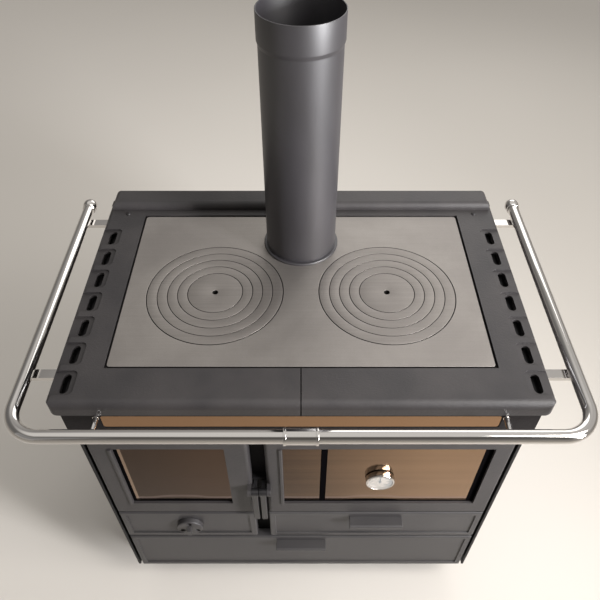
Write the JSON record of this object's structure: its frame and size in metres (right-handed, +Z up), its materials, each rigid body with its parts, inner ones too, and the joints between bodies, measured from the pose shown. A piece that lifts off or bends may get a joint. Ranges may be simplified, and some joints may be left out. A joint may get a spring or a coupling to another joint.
{
  "type": "wood cookstove",
  "caption": "Wood-burning range cooker with ring hob, glazed firebox and oven doors, wrap-round rail, drawers and a rear-centre flue pipe.",
  "frame": {"origin": "on the floor, under the middle of the overall box (rail and worktop included)", "axes": "+Z up, -Y the front with the doors, +X the viewer's right (oven side)"},
  "size_m": [1.036, 0.6748, 1.354],
  "materials": {
    "anthracite_cast": "fine-textured anthracite stove paint",
    "anthracite_sheet": "satin anthracite stove paint",
    "galvanised_sheet": "dull zinc",
    "ground_steel": "satin, ground in one direction",
    "black_flue": "matt black heatproof paint",
    "black_fastener": "black oxide",
    "chrome": "polished",
    "mirror_strip": "polished, bronze tone",
    "bronze_glass": "bronze-tinted ceramic glass",
    "zinc_steel": "zinc plated",
    "rope_seal": "braided glass-fibre rope",
    "black_handle": "satin black",
    "dial_face": "matt",
    "needle_paint": "matt black",
    "clear_lens": "clear",
    "raw_steel": "heat-darkened",
    "firebrick": "dry fireclay",
    "raw_cast_iron": "raw casting",
    "enamelled_steel": "vitreous enamel",
    "bright_wire": "plated wire"
  },
  "bodies": {
    "carcass": {"back_panel": "galvanised_sheet", "base_plate": "galvanised_sheet", "column_divider": "galvanised_sheet", "cornice": "anthracite_cast", "cornice_strip": "mirror_strip", "door_fittings": "black_flue", "drawer_runners": "galvanised_sheet", "drawer_shelf": "galvanised_sheet", "fire_grate": "raw_cast_iron", "firebox_shell": "raw_steel", "firebricks": "firebrick", "flue_collar": "black_flue", "flue_pipe": "black_flue", "front_frame": "black_flue", "hob_plate": "ground_steel", "levelling_feet": "zinc_steel", "middle_shelf": "galvanised_sheet", "oven_box": "enamelled_steel", "plinth": "anthracite_sheet", "rail_brackets": "chrome", "rail_end_balls": "chrome", "rail_left": "chrome", "rail_right": "chrome", "rail_sleeve": "chrome", "rear_upstand": "anthracite_cast", "side_panel_left": "anthracite_sheet", "side_panel_right": "anthracite_sheet", "smoke_box": "black_flue", "worktop_left": "anthracite_cast", "worktop_right": "anthracite_cast", "worktop_screws": "black_fastener"},
    "left_ring_4": {"left_hob_ring_4": "ground_steel"},
    "left_ring_3": {"left_hob_ring_3": "ground_steel"},
    "left_ring_2": {"left_hob_ring_2": "ground_steel"},
    "left_ring_1": {"left_hob_ring_1": "ground_steel"},
    "left_lid": {"left_hob_lid": "ground_steel"},
    "right_ring_4": {"right_hob_ring_4": "ground_steel"},
    "right_ring_3": {"right_hob_ring_3": "ground_steel"},
    "right_ring_2": {"right_hob_ring_2": "ground_steel"},
    "right_ring_1": {"right_hob_ring_1": "ground_steel"},
    "right_lid": {"right_hob_lid": "ground_steel"},
    "firebox_door": {"firebox_door_frame": "anthracite_cast", "firebox_door_glass": "bronze_glass", "firebox_glass_retainer": "zinc_steel", "firebox_door_seal": "rope_seal"},
    "firebox_handle": {"firebox_door_handle": "black_handle"},
    "oven_door": {"oven_door_frame": "anthracite_cast", "oven_door_glass": "bronze_glass", "oven_glass_retainer": "zinc_steel", "thermometer_case": "chrome", "thermometer_dial": "dial_face", "thermometer_lens": "clear_lens"},
    "oven_handle": {"oven_door_handle": "black_handle"},
    "needle": {"thermometer_needle": "needle_paint"},
    "ash_drawer": {"ash_drawer": "anthracite_sheet"},
    "air_control": {"air_control_knob": "anthracite_sheet"},
    "warming_drawer": {"warming_drawer": "anthracite_sheet"},
    "wood_drawer": {"wood_drawer": "anthracite_sheet"},
    "oven_rack": {"oven_rack": "bright_wire"},
    "damper": {"bypass_damper": "anthracite_sheet"}
  },
  "joints": [
    {"name": "left_ring_4_lift", "type": "slide", "parent": "carcass", "child": "left_ring_4", "axis": [0, 0, 1], "range_m": [0, 0.06]},
    {"name": "left_ring_3_lift", "type": "slide", "parent": "left_ring_4", "child": "left_ring_3", "axis": [0, 0, 1], "range_m": [0, 0.06]},
    {"name": "left_ring_2_lift", "type": "slide", "parent": "left_ring_3", "child": "left_ring_2", "axis": [0, 0, 1], "range_m": [0, 0.06]},
    {"name": "left_ring_1_lift", "type": "slide", "parent": "left_ring_2", "child": "left_ring_1", "axis": [0, 0, 1], "range_m": [0, 0.06]},
    {"name": "left_lid_lift", "type": "slide", "parent": "left_ring_1", "child": "left_lid", "axis": [0, 0, 1], "range_m": [0, 0.06]},
    {"name": "right_ring_4_lift", "type": "slide", "parent": "carcass", "child": "right_ring_4", "axis": [0, 0, 1], "range_m": [0, 0.06]},
    {"name": "right_ring_3_lift", "type": "slide", "parent": "right_ring_4", "child": "right_ring_3", "axis": [0, 0, 1], "range_m": [0, 0.06]},
    {"name": "right_ring_2_lift", "type": "slide", "parent": "right_ring_3", "child": "right_ring_2", "axis": [0, 0, 1], "range_m": [0, 0.06]},
    {"name": "right_ring_1_lift", "type": "slide", "parent": "right_ring_2", "child": "right_ring_1", "axis": [0, 0, 1], "range_m": [0, 0.06]},
    {"name": "right_lid_lift", "type": "slide", "parent": "right_ring_1", "child": "right_lid", "axis": [0, 0, 1], "range_m": [0, 0.06]},
    {"name": "firebox_door_hinge", "type": "hinge", "parent": "carcass", "child": "firebox_door", "pos_m": [-0.407, -0.2436, 0.582], "axis": [0, 0, -1], "range_deg": [0, 110]},
    {"name": "firebox_handle_lift", "type": "hinge", "parent": "firebox_door", "child": "firebox_handle", "pos_m": [-0.097, -0.2646, 0.531], "axis": [-1, 0, 0], "range_deg": [0, 45]},
    {"name": "oven_door_hinge", "type": "hinge", "parent": "carcass", "child": "oven_door", "pos_m": [0.407, -0.2436, 0.582], "axis": [0, 0, 1], "range_deg": [0, 110]},
    {"name": "oven_handle_lift", "type": "hinge", "parent": "oven_door", "child": "oven_handle", "pos_m": [-0.08, -0.2646, 0.531], "axis": [-1, 0, 0], "range_deg": [0, 45]},
    {"name": "needle_turn", "type": "hinge", "parent": "oven_door", "child": "needle", "pos_m": [0.165, -0.2555, 0.56], "axis": [0, -1, 0], "range_deg": [-135, 135], "stiffness_Nm_per_rad": 0.0005},
    {"name": "ash_drawer_slide", "type": "slide", "parent": "carcass", "child": "ash_drawer", "axis": [0, -1, 0], "range_m": [0, 0.3]},
    {"name": "air_control_turn", "type": "hinge", "parent": "ash_drawer", "child": "air_control", "pos_m": [-0.2595, -0.2516, 0.342], "axis": [0, -1, 0], "range_deg": [0, 60]},
    {"name": "warming_drawer_slide", "type": "slide", "parent": "carcass", "child": "warming_drawer", "axis": [0, -1, 0], "range_m": [0, 0.3]},
    {"name": "wood_drawer_slide", "type": "slide", "parent": "carcass", "child": "wood_drawer", "axis": [0, -1, 0], "range_m": [0, 0.36]},
    {"name": "oven_rack_slide", "type": "slide", "parent": "carcass", "child": "oven_rack", "axis": [0, -1, 0], "range_m": [0, 0.07]},
    {"name": "damper_pull", "type": "slide", "parent": "carcass", "child": "damper", "axis": [1, 0, 0], "range_m": [0, 0.07]}
  ]
}
